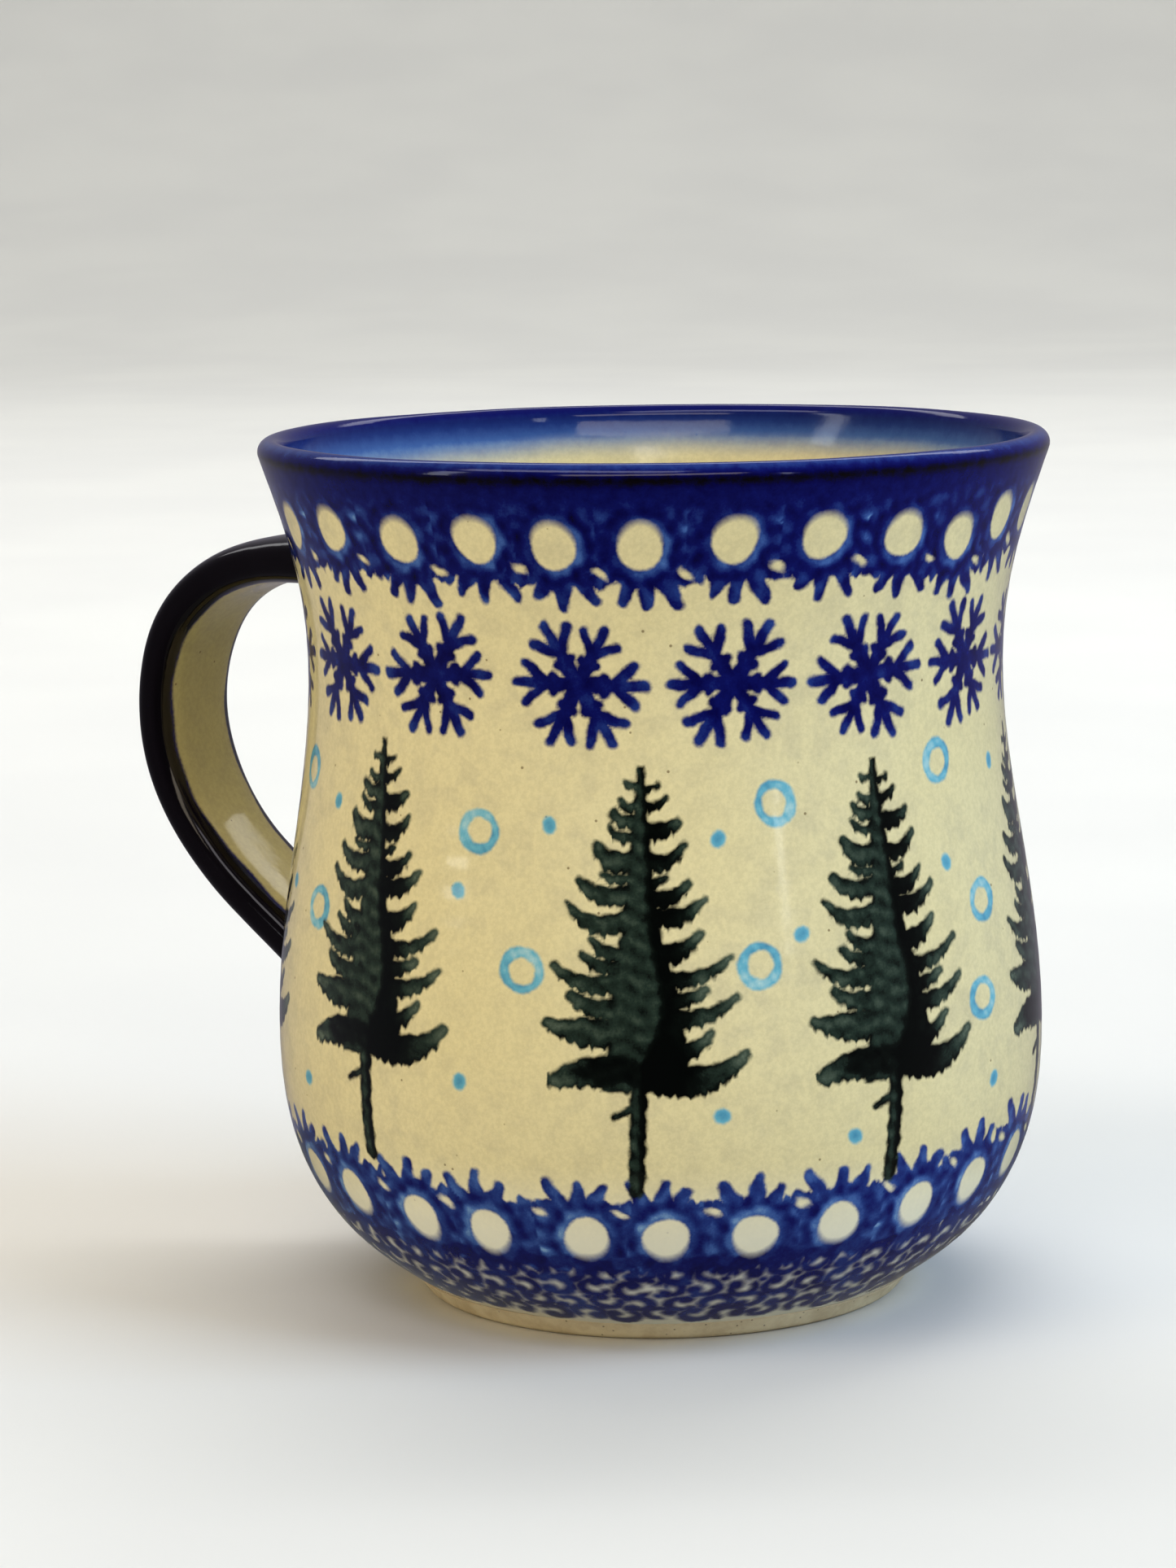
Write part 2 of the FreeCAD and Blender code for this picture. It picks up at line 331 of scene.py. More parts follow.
# Fir stamp, in mm from the foot of its trunk.
# Each bough: (tip x, tip height, droop of its middle, half widths at trunk, middle and tip).
FIR_BOUGHS = [
    (-1.1, 44.6, 0.2, 0.40, 0.35, 0.28), (-1.6, 42.7, 0.5, 0.50, 0.45, 0.30),
    (-2.5, 41.4, 0.6, 0.60, 0.60, 0.45), (-2.9, 39.9, 0.7, 0.55, 0.45, 0.30),
    (-4.3, 37.9, 1.1, 0.80, 1.00, 0.50), (-3.6, 35.0, 0.4, 0.50, 0.45, 0.30),
    (-6.1, 34.2, 1.0, 0.80, 0.85, 0.45), (-7.4, 31.8, 1.4, 0.95, 0.85, 0.30),
    (-4.6, 28.1, 1.0, 0.70, 0.75, 0.35), (-5.6, 26.5, 0.9, 0.70, 0.70, 0.40),
    (-8.8, 25.3, 1.3, 1.00, 0.80, 0.35), (-6.8, 22.1, 0.9, 0.90, 0.90, 0.50),
    (-9.4, 19.1, 0.6, 1.30, 1.30, 0.50),
    (2.6, 44.4, 0.3, 0.40, 0.35, 0.28), (3.5, 43.0, 0.6, 0.50, 0.45, 0.30),
    (4.8, 40.4, 0.6, 0.80, 0.80, 0.45), (5.5, 38.0, 1.2, 0.75, 0.75, 0.35),
    (3.4, 34.6, 0.4, 0.50, 0.45, 0.35), (6.0, 34.0, 1.1, 0.85, 0.80, 0.35),
    (7.7, 32.2, 1.2, 0.85, 0.85, 0.35), (7.2, 28.6, 1.3, 0.80, 0.95, 0.40),
    (10.4, 26.0, 1.4, 0.85, 0.70, 0.35), (7.6, 22.6, 0.7, 0.80, 0.75, 0.45),
    (10.9, 21.8, 1.4, 0.95, 0.80, 0.35), (8.0, 18.0, 1.4, 0.95, 0.90, 0.40),
]
# The two broad lowest boughs, in the same form.
FIR_SKIRTS = [(-8.5, 13.0, -0.6, 1.5, 1.35, 0.80), (11.6, 15.6, 1.7, 1.5, 1.30, 0.50)]
# The solid middle of the tree: its left and right edges at these heights.
FIR_HEIGHTS = [11.8, 15.0, 20.0, 24.0, 28.0, 34.0, 42.0, 46.2]
FIR_LEFT = [-3.8, -3.2, -2.8, -2.2, -1.6, -1.0, -0.2, 0.25]
FIR_RIGHT = [5.2, 5.6, 4.9, 4.3, 3.1, 2.1, 1.4, 1.15]
FIR_SHADOW = [0.4, 0.9, 2.8, 2.6, 1.7, 1.4, 1.0, 0.9]    # where the flooded, darker side begins
FIR_BOTTOM, FIR_TOP = 11.8, 46.4
BOUGH_WEIGHT = 1.30         # how much the stamp thickens its boughs
BOUGH_SAG = 1.25            # and how much further they droop


def fir(x, y, seed):
    """Ink edge and depth of a fir tree with drooping boughs, upturned at their tips."""
    x = x + 0.13 * ripple(x, y, seed, 1.1) + 0.10 * np.sin(0.21 * y + seed)
    y = y + 0.13 * ripple(y, x, seed + 7, 1.1)
    left = np.interp(y, FIR_HEIGHTS, FIR_LEFT)
    right = np.interp(y, FIR_HEIGHTS, FIR_RIGHT)
    ink = np.minimum(np.minimum(x - left, right - x), np.minimum(y - FIR_BOTTOM, FIR_TOP - y))
    tips = np.zeros(x.shape)
    for tip_x, tip_y, droop, wide, middle, narrow in FIR_BOUGHS + FIR_SKIRTS:
        sag = BOUGH_SAG * droop
        root = (0.4 + 0.1 * tip_x, tip_y - 0.9 * sag)
        bend = (0.62 * tip_x, tip_y - 2.0 * sag)
        widths = [BOUGH_WEIGHT * w for w in (wide, middle, narrow)]
        bough = bent_stroke(x, y, root, bend, (tip_x, tip_y), widths)
        needles = (0.17 * np.sin(5.2 * x + tip_y) + 0.10 * np.sin(9.1 * x)) * (y < tip_y - 0.9 * sag)
        ink = np.maximum(ink, bough + needles)
        near_tip = np.exp(-((x - tip_x) ** 2 + (y - tip_y) ** 2) / (1.2 + 0.1 * abs(tip_x)) ** 2)
        tips = np.maximum(tips, near_tip)
    bark = 0.10 * np.sin(2.3 * y + seed) * (x > 0)
    trunk = stroke(x, y, (0.0, 0.9), (0.25, 13.0), 0.92, 0.95) + bark
    snag = stroke(x, y, (-0.6, 9.9), (-2.5, 9.0), 0.50, 0.42)
    ink = np.maximum(ink, np.maximum(trunk, snag))
    flooded = np.clip((x - np.interp(y, FIR_HEIGHTS, FIR_SHADOW)) / 0.9 + 0.5, 0, 1)
    pool = np.exp(-(((y - 14.2) / 1.6) ** 2)) * np.clip(3.0 - abs(x) / 2.5, 0, 1)
    streaks = 0.10 * np.sin(3.1 * y + 0.5 * x + np.sin(1.3 * x)) + 0.08 * ripple(x, y, seed, 1.4)
    outer = np.clip((x - 3.5) / 3.5, 0, 1)
    depth = 0.60 + 0.50 * flooded * (1 - 0.72 * outer) + 0.40 * pool + streaks * (1 - flooded)
    depth = depth - (0.20 + 0.35 * flooded) * tips
    rim = np.exp(-(((ink - 0.15) / 0.30) ** 2))
    return ink, depth + 0.20 * rim


BUBBLE_SIZE = 1.98          # radius of a ring's middle line
BUBBLE_LINE = 0.52          # half width of its line
BERRY_SIZE = 0.86
CURL_SIZE = 1.32            # radius of a curl's middle line
CURL_TAIL = (0.66, 0.22)    # half width at its gap, and how much it grows opposite
CURL_HEAD = 1.12            # radius of its thick head


def bubble(x, y, seed):
    """Ink edge and depth of a watery brush-drawn ring."""
    rho = np.hypot(x, y)
    turn = np.arctan2(y, x)
    middle = BUBBLE_SIZE + 0.06 * np.sin(2 * turn + seed)
    half = BUBBLE_LINE + 0.10 * np.sin(turn + 2 * seed) + 0.05 * np.sin(5 * turn + seed)
    depth = 0.55 + 0.22 * np.sin(turn + 1.3 * seed) + 0.2 * ripple(x, y, seed, 0.9)
    edge = half - abs(rho - middle)
    return edge, depth + 0.25 * np.exp(-((edge / 0.2) ** 2))


def berry(x, y, seed):
    """Ink edge and depth of a small round dab."""
    rho = np.hypot(x, 0.95 * y)
    edge = BERRY_SIZE + 0.06 * np.sin(2 * np.arctan2(y, x) + seed) - rho
    return edge, 0.6 + 0.6 * np.clip(edge, 0, 0.6)


def curl(x, y, opening):
    """Ink edge of a comma-shaped curl whose gap points along opening, in radians."""
    rho = np.hypot(x, y)
    turn = wrapped(np.arctan2(y, x) - opening)
    half = CURL_TAIL[0] + CURL_TAIL[1] * np.clip(abs(turn) / math.pi, 0, 1)
    tail = np.minimum(half - abs(rho - CURL_SIZE), rho * (abs(turn) - 0.45))
    head = (1.15 * math.cos(opening + 0.9), 1.15 * math.sin(opening + 0.9))
    return np.maximum(tail, CURL_HEAD - np.hypot(x - head[0], y - head[1]))


# ---- where each motif is stamped: (angle in degrees, height in mm) ------------------------

UPPER_SUNS = [
    (-130.5, 90.0), (-115.5, 90.5), (-100.0, 90.0), (-86.5, 90.5), (-74.5, 90.0), (-62.0, 90.0),
    (-48.5, 90.5), (-35.0, 90.5), (-21.0, 90.0), (-8.5, 89.0), (3.5, 90.5), (16.5, 90.5),
]
LOWER_SUNS = [
    (-127.5, 17.0), (-114.5, 16.5), (-99.5, 15.5), (-87.0, 15.0), (-71.5, 15.0), (-59.5, 15.0),
    (-46.0, 15.0), (-32.5, 15.5), (-18.0, 16.0), (-5.0, 17.0), (8.5, 18.0),
]
FLAKES = [
    (-144.0, 75.5), (-120.0, 75.5), (-96.5, 75.5), (-72.0, 75.0), (-48.0, 75.0), (-25.0, 75.0),
    (-1.5, 75.0), (21.0, 75.0),
]
SUN_PITCH = 13.35           # degrees between two stamps where a row is carried on
FLAKE_PITCH = 24.2
# The wall's radius where each kind of stamp is pressed.
UPPER_SUN_RADIUS = 42.9
LOWER_SUN_RADIUS = 42.4
FLAKE_RADIUS = 40.0
FIR_RADIUS = 43.2
BUBBLE_RADIUS = 42.0
BERRY_RADIUS = 42.5
# Half the width and height of the patch that each stamp can reach.
SUN_PATCH = (8.2, 8.2)
FLAKE_PATCH = (8.6, 8.6)
FIR_PATCH = (15.5, 26)
FIR_MIDDLE = 23             # height of the middle of its patch above the trunk's foot
BUBBLE_PATCH = (3.4, 3.4)
BERRY_PATCH = (2.0, 2.0)
CURL_PATCH = 2.8
LOWER_SHEET = 4.9           # how far below the lower eyes the wash between them reaches
LOWER_THINNER = 0.20        # how much thinner the lower suns' ink is
# Firs: (angle, height of the trunk's foot, lean in degrees).
FIRS = [
    (-148.5, 20.5, 0.8), (-107.0, 21.5, 1.9), (-63.5, 20.0, 0.0), (-25.0, 19.5, 0.5),
    (16.5, 20.0, -0.4), (57.5, 20.5, 0.6), (99.5, 20.0, -0.3), (141.0, 21.0, 1.0),
]
BUBBLES = [
    (-132.5, 62.5), (-122.5, 48.0), (-88.0, 59.0), (-80.0, 44.5), (-42.0, 62.0), (-45.5, 45.0),
    (-10.5, 64.5), (-3.0, 48.5), (-5.5, 38.0),
]
BERRIES = [
    (-120.0, 60.0), (-123.5, 28.5), (-135.0, 49.5), (-91.0, 52.5), (-76.5, 60.0), (-89.5, 32.0),
    (-51.0, 58.5), (-39.0, 48.0), (-51.5, 29.0), (-31.5, 25.5), (-11.0, 53.5), (6.5, 63.0),
    (-3.0, 28.5),
]
# The scatter in the gap between two firs is used again in a gap on the far side: (from, to).
REPEATED_GAPS = [(-85.0, 37.5), (-44.0, 79.0), (-4.0, 120.5)]
GAP_HALF = 16               # half the width of such a gap, in degrees
CURL_ROWS = [12.9, 9.7, 6.5, 3.4]     # distance from the glaze line, along the wall
CURL_GAP = 3.95             # distance between two curls of a row
CURL_JITTER = 0.45
FILLER_LIFT = 1.6           # how far above its row a filler dab sits
FILLER_SIZE = 0.82
CURL_BELT = (0.6, 15.5)     # where the curls begin and end, along the wall
CURL_BLEED = 0.48           # how much more the pigment blurs among the curls
FLOOD_HEIGHT = 93.2         # down to here the rim's cobalt runs between the upper suns
RIM_DEPTH = 1.12            # depth of the rim's cobalt


def filled_row(stamps, pitch, seed):
    """A row of stamps carried on round the mug, at about the same pitch."""
    first, last = stamps[0][0], stamps[-1][0]
    room = 360 - (last - first)
    count = round(room / pitch)
    rng = np.random.default_rng(seed)
    extra = []
    for k in range(1, count):
        angle = last + room * k / count + rng.uniform(-0.5, 0.5)
        extra.append((angle, stamps[0][1] + rng.uniform(-0.3, 0.5)))
    return stamps + extra


def repeated(spots):
    """The spots, with those of the front gaps used again in the far ones."""
    out = list(spots)
    for seen, unseen in REPEATED_GAPS:
        out += [(a - seen + unseen, z) for a, z in spots if abs(a - seen) < GAP_HALF]
    return out


def painted(angle, s):
    """Edges of cobalt, fir and sky at points of the outside, and the ink's depth and bleed."""
    r, z = pot.at(s)
    fields = {name: np.full(angle.shape, -FAR) for name in ("cobalt", "fir", "sky")}
    bare = np.full(angle.shape, -FAR)
    depth = np.full(angle.shape, 1.0)
    bleed = np.full(angle.shape, EDGE_BLEED)
    weight = np.full(angle.shape, -FAR)

    def near(degrees, height, patch, radius):
        x = wrapped(angle - math.radians(degrees)) * radius
        y = z - height
        where = np.nonzero((abs(x) < patch[0]) & (abs(y) < patch[1]))
        return where, x[where], y[where]

    def stamp(name, where, edge, shade):
        fields[name][where] = np.maximum(fields[name][where], edge)
        stronger = edge > weight[where]
        depth[where] = np.where(stronger, shade, depth[where])
        weight[where] = np.maximum(weight[where], edge)

    def stamp_sun(where, edge, spots, shade, blur):
        stamp("cobalt", where, edge, shade)
        bare[where] = np.maximum(bare[where], spots)
        bleed[where] = np.maximum(bleed[where], blur)

    for k, (degrees, height) in enumerate(filled_row(UPPER_SUNS, SUN_PITCH, 1)):
        where, x, y = near(degrees, height, SUN_PATCH, UPPER_SUN_RADIUS)
        stamp_sun(where, *sun(x, y, k, FAR))
    for k, (degrees, height) in enumerate(filled_row(LOWER_SUNS, SUN_PITCH, 2)):
        where, x, y = near(degrees, height, SUN_PATCH, LOWER_SUN_RADIUS)
        edge, spots, shade, blur = sun(-x, -y, k + 40, LOWER_SHEET)
        stamp_sun(where, edge, spots, shade - LOWER_THINNER, blur)
    for k, (degrees, height) in enumerate(filled_row(FLAKES, FLAKE_PITCH, 3)):
        where, x, y = near(degrees, height, FLAKE_PATCH, FLAKE_RADIUS)
        stamp("cobalt", where, *snowflake(x, y, k))
    for k, (degrees, height, lean) in enumerate(FIRS):
        where, x, y = near(degrees, height + FIR_MIDDLE, FIR_PATCH, FIR_RADIUS)
        x, y = turned_by(x, y + FIR_MIDDLE, lean)
        stamp("fir", where, *fir(x, y, k))
    for k, (degrees, height) in enumerate(repeated(BUBBLES)):
        where, x, y = near(degrees, height, BUBBLE_PATCH, BUBBLE_RADIUS)
        stamp("sky", where, *bubble(x, y, k))
    for k, (degrees, height) in enumerate(repeated(BERRIES)):
        where, x, y = near(degrees, height, BERRY_PATCH, BERRY_RADIUS)
        stamp("sky", where, *berry(x, y, k))

    # Rows of curls, with a filler dab after each curl.
    rng = np.random.default_rng(7)
    for distance in CURL_ROWS:
        radius = float(pot.at(distance)[0])
        count = 2 * int(FULL_TURN * radius / CURL_GAP)
        start = rng.uniform(0, FULL_TURN)
        for k in range(count):
            filler = k % 2
            turn = start + FULL_TURN * k / count + rng.uniform(-CURL_JITTER, CURL_JITTER) / radius
            lift = distance + rng.uniform(-CURL_JITTER, CURL_JITTER) + FILLER_LIFT * filler
            opening = rng.uniform(0, FULL_TURN)
            size = rng.uniform(1.04, 1.24)
            shade = rng.uniform(0.84, 1.14)
            x = wrapped(angle - turn) * radius
            where = np.nonzero((abs(x) < CURL_PATCH) & (abs(s - lift) < CURL_PATCH))
            if filler:
                edge = FILLER_SIZE * size - np.hypot(x[where], 1.2 * (s[where] - lift))
            else:
                edge = size * curl(x[where] / size, (s[where] - lift) / size, opening)
            edge = edge + 0.08 * ripple(x[where], s[where], k, 1.0)
            share = np.clip(edge / 0.4 + 0.5, 0, 1)
            depth[where] = depth[where] + (shade - depth[where]) * share
            fields["cobalt"][where] = np.maximum(fields["cobalt"][where], edge)

    belt = np.clip((CURL_BELT[1] - s) / 2.0, 0, 1) * np.clip((s - CURL_BELT[0]) / 1.5, 0, 1)
    bleed = bleed + CURL_BLEED * belt

    # The cobalt of the rim floods down between the upper suns.
    flood = z - FLOOD_HEIGHT + 0.25 * np.sin(27 * angle) + 0.15 * np.sin(61 * angle)
    depth = np.where(flood > fields["cobalt"], 1.15, depth)
    fields["cobalt"] = np.maximum(fields["cobalt"], flood)
    fields["cobalt"] = np.minimum(fields["cobalt"], -bare)
    rising = np.clip((z - 93.0) / 3.0, 0, 1)
    depth = depth + (RIM_DEPTH - depth) * rising
    return dict(fields, depth=depth, bleed=bleed)


# ---- meshes -------------------------------------------------------------------------------

def make_mesh(name, points, faces, material, normals=None, fields=None):
    """A smooth mesh piece from points in mm, riding on the mug."""
    mesh = bpy.data.meshes.new(name)
    mesh.from_pydata((np.asarray(points, float) * MM).tolist(), [], faces)
    mesh.polygons.foreach_set("use_smooth", [True] * len(mesh.polygons))
    for key, values in (fields or {}).items():
        layer = mesh.attributes.new(key, "FLOAT", "POINT")
        layer.data.foreach_set("value", np.asarray(values, np.float32))
    if normals is not None:
        mesh.normals_split_custom_set_from_vertices(np.asarray(normals, float).tolist())
    mesh.materials.append(material)
    piece = bpy.data.objects.new(name, mesh)
    bpy.context.collection.objects.link(piece)
    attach(piece, BODY)
    return piece


def grid_faces(rows, columns, closed):
    """Quads of a grid of points, row after row; closed joins the last column to the first."""
    i, j = np.meshgrid(np.arange(rows - 1), np.arange(columns if closed else columns - 1), indexing="ij")
    k = (j + 1) % columns
    quads = np.stack([i * columns + j, i * columns + k, (i + 1) * columns + k, (i + 1) * columns + j], -1)
    return quads.reshape(-1, 4).tolist()


def steps(start, end, gap):
    """Evenly spaced values from start to end, about gap apart."""
    return np.linspace(start, end, int(round(abs(end - start) / gap)) + 1)


def skin_patch(name, s_values, start, end, material, fields=None, section=pot, rough=1.0):
    """A patch of a turned skin between two angles, with its pigment fields."""
    closed = abs(end - start - FULL_TURN) < 1e-6
    radius = POT_RADIUS if section is pot else max(section.points[:, 0])
    columns = int(round((end - start) * radius / GRID)) + (0 if closed else 1)
    angles = np.linspace(start, end, columns, endpoint=not closed)
    s, angle = np.meshgrid(s_values, angles, indexing="ij")
    points = skin(angle, s, section, rough).reshape(-1, 3)
    normals = skin_normal(angle, s, section, rough).reshape(-1, 3)
    values = {key: v.ravel() for key, v in fields(angle, s).items()} if fields else None
    faces = grid_faces(len(s_values), columns, closed)
    return make_mesh(name, points, faces, material, normals, values)


# ---- materials ----------------------------------------------------------------------------

class Shader:
    """A small helper that builds a node material."""

    def __init__(self, name):
        self.material = bpy.data.materials.new(name)
        self.material.use_nodes = True
        self.tree = self.material.node_tree
        self.surface = self.tree.nodes["Principled BSDF"]

    def add(self, kind, inputs=None, **settings):
        node = self.tree.nodes.new(kind)
        for key, value in settings.items():
            setattr(node, key, value)
        for key, value in (inputs or {}).items():
            self.join(value, node.inputs[key])
        return node

    def join(self, value, socket):
        if isinstance(value, bpy.types.NodeSocket):
            self.tree.links.new(value, socket)
        else:
            socket.default_value = value

    def math(self, operation, a, b):
        return self.add("ShaderNodeMath", {0: a, 1: b}, operation=operation).outputs[0]

    def mix(self, factor, a, b):
        node = self.add("ShaderNodeMix", data_type="RGBA")
        self.join(factor, node.inputs[0])
        self.join(a, node.inputs[6])
        self.join(b, node.inputs[7])
        return node.outputs[2]

    def field(self, name):
        return self.add("ShaderNodeAttribute", attribute_name=name).outputs["Fac"]

    def place(self):
        return self.add("ShaderNodeTexCoord").outputs["Object"]

    def noise(self, size, detail=3.0, roughness=0.5, stretch=None):
        """Smooth noise whose bumps are about size mm across."""
        where = self.place()
        if stretch:
            where = self.add("ShaderNodeMapping", {"Vector": where, "Scale": stretch}).outputs[0]
        return self.add(
            "ShaderNodeTexNoise",
            {"Vector": where, "Scale": 1 / (size * MM), "Detail": detail, "Roughness": roughness},
        ).outputs["Fac"]

    def remap(self, value, low, high, to_low=0.0, to_high=1.0, smooth=True):
        node = self.add(
            "ShaderNodeMapRange",
            {"Value": value, "From Min": low, "From Max": high, "To Min": to_low, "To Max": to_high},
            interpolation_type="SMOOTHSTEP" if smooth else "LINEAR",
        )
        return node.outputs[0]

    def ramp(self, value, stops):
        node = self.add("ShaderNodeValToRGB", {"Fac": value})
        elements = node.color_ramp.elements
        while len(elements) < len(stops):
            elements.new(0.5)
        for element, (position, colour) in zip(elements, stops):
            element.position = position
            element.color = (*colour, 1)
        return node.outputs[0]

    def specks(self, size, radius, share):
        """Small dots about size mm apart; only a share of them are there."""
        where = self.add("ShaderNodeTexVoronoi", {"Vector": self.place(), "Scale": 1 / (size * MM)})
        there = self.math("LESS_THAN", where.outputs["Color"], share)
        near = self.remap(where.outputs["Distance"], radius / size * 0.5, radius / size, 1.0, 0.0)
        return self.math("MULTIPLY", there, near)

    def finish(self, colour, roughness, height=None, height_mm=0.01, **constants):
        self.join(colour, self.surface.inputs["Base Color"])
        self.join(roughness, self.surface.inputs["Roughness"])
        for key, value in constants.items():
            self.surface.inputs[key.replace("_", " ")].default_value = value
        if height is not None:
            bump = self.add("ShaderNodeBump", {"Height": height, "Distance": height_mm * MM, "Strength": 1.0})
            self.tree.links.new(bump.outputs[0], self.surface.inputs["Normal"])
        return self.material


CREAM = (0.67, 0.60, 0.36)
CREAM_GREY = (0.60, 0.54, 0.335)
CREAM_WARM = (0.67, 0.58, 0.30)
CREAM_PAINTED_BOUNCE = (0.78, 0.77, 0.64)         # whiter towards the foot: painted bounce light from the table
# A darker, greyer copy of the cream for the handle: painted shade on the strap's inner face, which lies in
# the mug's shadow.
SHADED_CREAM = (0.40, 0.35, 0.165)
SHADED_CREAM_GREY = (0.37, 0.325, 0.160)
SPECK = (0.17, 0.12, 0.06)


def cream_colour(sh, pale=CREAM, mottle=CREAM_GREY):
    """Cream glaze with soft mottling, fine grain and tiny brown pinholes."""
    blotch = sh.remap(sh.noise(2.6, 2.0), 0.42, 0.72)
    colour = sh.mix(blotch, pale + (1,), mottle + (1,))
    warm = sh.remap(sh.noise(26.0, 1.0), 0.35, 0.7, 0.0, 0.5)
    colour = sh.mix(warm, colour, sh.mix(0.5, pale + (1,), CREAM_WARM + (1,)))
    grain = sh.remap(sh.noise(0.6, 4.0, 0.7), 0.35, 0.65, 0.94, 1.04)
    vector = sh.add("ShaderNodeVectorMath", operation="SCALE")
    sh.join(colour, vector.inputs[0])
    sh.join(grain, vector.inputs["Scale"])
    colour = sh.mix(sh.math("MULTIPLY", sh.specks(1.9, 0.21, 0.32), 0.75), vector.outputs[0], SPECK + (1,))
    return sh.mix(sh.math("MULTIPLY", sh.specks(6.5, 0.46, 0.20), 0.65), colour, SPECK + (1,))


def painted_glaze(name, pale, mottle):
    """Glossy cream glaze over cobalt, green-black and light blue pigments."""
    sh = Shader(name)
    low = sh.add("ShaderNodeSeparateXYZ", {0: sh.place()}).outputs["Z"]
    # Below 24 mm the cream turns whiter towards the foot: painted bounce light from the table.
    painted_bounce = sh.remap(low, 24 * MM, 13 * MM, 0.0, 0.8)
    cream = sh.mix(painted_bounce, cream_colour(sh, pale, mottle), CREAM_PAINTED_BOUNCE + (1,))
    rough_edge = sh.remap(sh.noise(0.45, 2.0), 0.0, 1.0, -0.13, 0.13, smooth=False)
    bleed = sh.field("bleed")
    depth = sh.field("depth")
    cloud = sh.remap(sh.noise(1.3, 4.0, 0.6), 0.25, 0.75, -0.14, 0.14, smooth=False)
    fine = sh.remap(sh.noise(0.25, 2.0, 0.6), 0.25, 0.75, -0.05, 0.05, smooth=False)
    calm = sh.remap(bleed, 0.9, 1.6, 1.0, 0.35)
    thick = sh.math("ADD", depth, sh.math("MULTIPLY", sh.math("ADD", cloud, fine), calm))
    reach = sh.math("MULTIPLY", bleed, -1.0)

    def cover(name):
        edge = sh.math("ADD", sh.field(name), rough_edge)
        node = sh.add("ShaderNodeMapRange", {"Value": edge, "From Min": reach, "From Max": bleed},
                      interpolation_type="SMOOTHSTEP")
        return node.outputs[0]

    half = sh.math("MULTIPLY", thick, 0.6)
    sky = sh.ramp(half, [(0.0, (0.45, 0.62, 0.60)), (0.35, (0.16, 0.42, 0.52)), (0.75, (0.05, 0.22, 0.36))])
    green = sh.ramp(half, [
        (0.05, (0.16, 0.20, 0.15)), (0.20, (0.070, 0.095, 0.070)), (0.34, (0.024, 0.040, 0.030)),
        (0.50, (0.004, 0.007, 0.005)), (0.66, (0.0008, 0.002, 0.0012)),
    ])
    cobalt = sh.ramp(half, [
        (0.05, (0.22, 0.36, 0.54)), (0.22, (0.068, 0.145, 0.37)), (0.42, (0.020, 0.048, 0.21)),
        (0.60, (0.0040, 0.0075, 0.115)), (0.74, (0.0014, 0.0014, 0.070)), (0.90, (0.003, 0.0016, 0.0035)),
    ])
    colour = sh.mix(cover("sky"), cream, sky)
    colour = sh.mix(cover("cobalt"), colour, cobalt)
    colour = sh.mix(cover("fir"), colour, green)
    rough = sh.remap(sh.noise(9.0, 3.0), 0.3, 0.7, 0.07, 0.13)
    swell = sh.math("ADD", sh.noise(1.6, 2.0), sh.math("MULTIPLY", sh.noise(0.35, 1.0), 0.12))
    return sh.finish(colour, rough, swell, 0.012, IOR=1.52)


def cream_glaze():
    sh = Shader("cream_glaze")
    swell = sh.noise(1.8, 2.0)
    rough = sh.remap(sh.noise(9.0, 3.0), 0.3, 0.7, 0.08, 0.15)
    return sh.finish(cream_colour(sh), rough, swell, 0.012, IOR=1.52)


def bare_clay():
    """Unglazed fired clay, sandy and mottled, with dark iron specks."""
    sh = Shader("bare_clay")
    tone = sh.remap(sh.noise(3.5, 4.0, 0.65), 0.3, 0.7)
    colour = sh.mix(tone, (0.72, 0.64, 0.45, 1), (0.57, 0.48, 0.32, 1))
    colour = sh.mix(sh.math("MULTIPLY", sh.specks(0.9, 0.16, 0.3), 0.7), colour, (0.10, 0.07, 0.04, 1))
    grit = sh.math("ADD", sh.noise(0.5, 5.0, 0.7), sh.noise(2.5, 2.0))
    return sh.finish(colour, sh.remap(tone, 0.0, 1.0, 0.62, 0.85), grit, 0.06, IOR=1.45)


PAINTED = painted_glaze("painted_glaze", CREAM, CREAM_GREY)
# The handle's glaze uses the darker cream copy: painted shade.
SHADED_HANDLE_GLAZE = painted_glaze("handle_glaze_painted_shade", SHADED_CREAM, SHADED_CREAM_GREY)
CREAM_GLAZE = cream_glaze()
CLAY = bare_clay()


# ---- the pot ------------------------------------------------------------------------------

LIP_TO_INSIDE = 2.5         # how far past the lip's outer edge its inside begins
BAND_DROP = 5.3             # how far below the lip the blue ends inside
BAND_BLEED = 1.9            # how softly it ends


def rim_fields(angle, s):
    """Cobalt over the lip, thin on its crown, pooled below it, fading out inside."""
    z = pot.at(s)[1]
    inside = s > S_LIP + LIP_TO_INSIDE
    down = np.where(inside, LIP_CROWN[1] - z, 0.0)
    drift = 0.45 * np.sin(2 * angle + 1) + 0.2 * np.sin(5 * angle) + 0.08 * np.sin(17 * angle + 2)
    crown = np.exp(-(((s - S_LIP - 2.2) / 0.9) ** 2))
    pool = np.exp(-(((s - S_LIP - 0.2) / 0.7) ** 2))
    thinning = np.where(inside, 0.20 * np.clip(down, 0, 4.2), 0.0)
    depth = RIM_DEPTH - 0.35 * crown + 0.35 * pool - thinning
    edge = np.where(inside, BAND_DROP - down + drift, FAR)
    bleed = np.where(inside, BAND_BLEED, EDGE_BLEED)
    none = np.full(angle.shape, -FAR)
    return {"cobalt": edge, "fir": none, "sky": none, "depth": depth, "bleed": bleed}


# One panel per fir, parted half way between neighbours.
PANEL_EDGES = [-180.0, -127.5, -85.0, -44.0, -4.0, 37.0, 78.5, 120.5, 180.0]


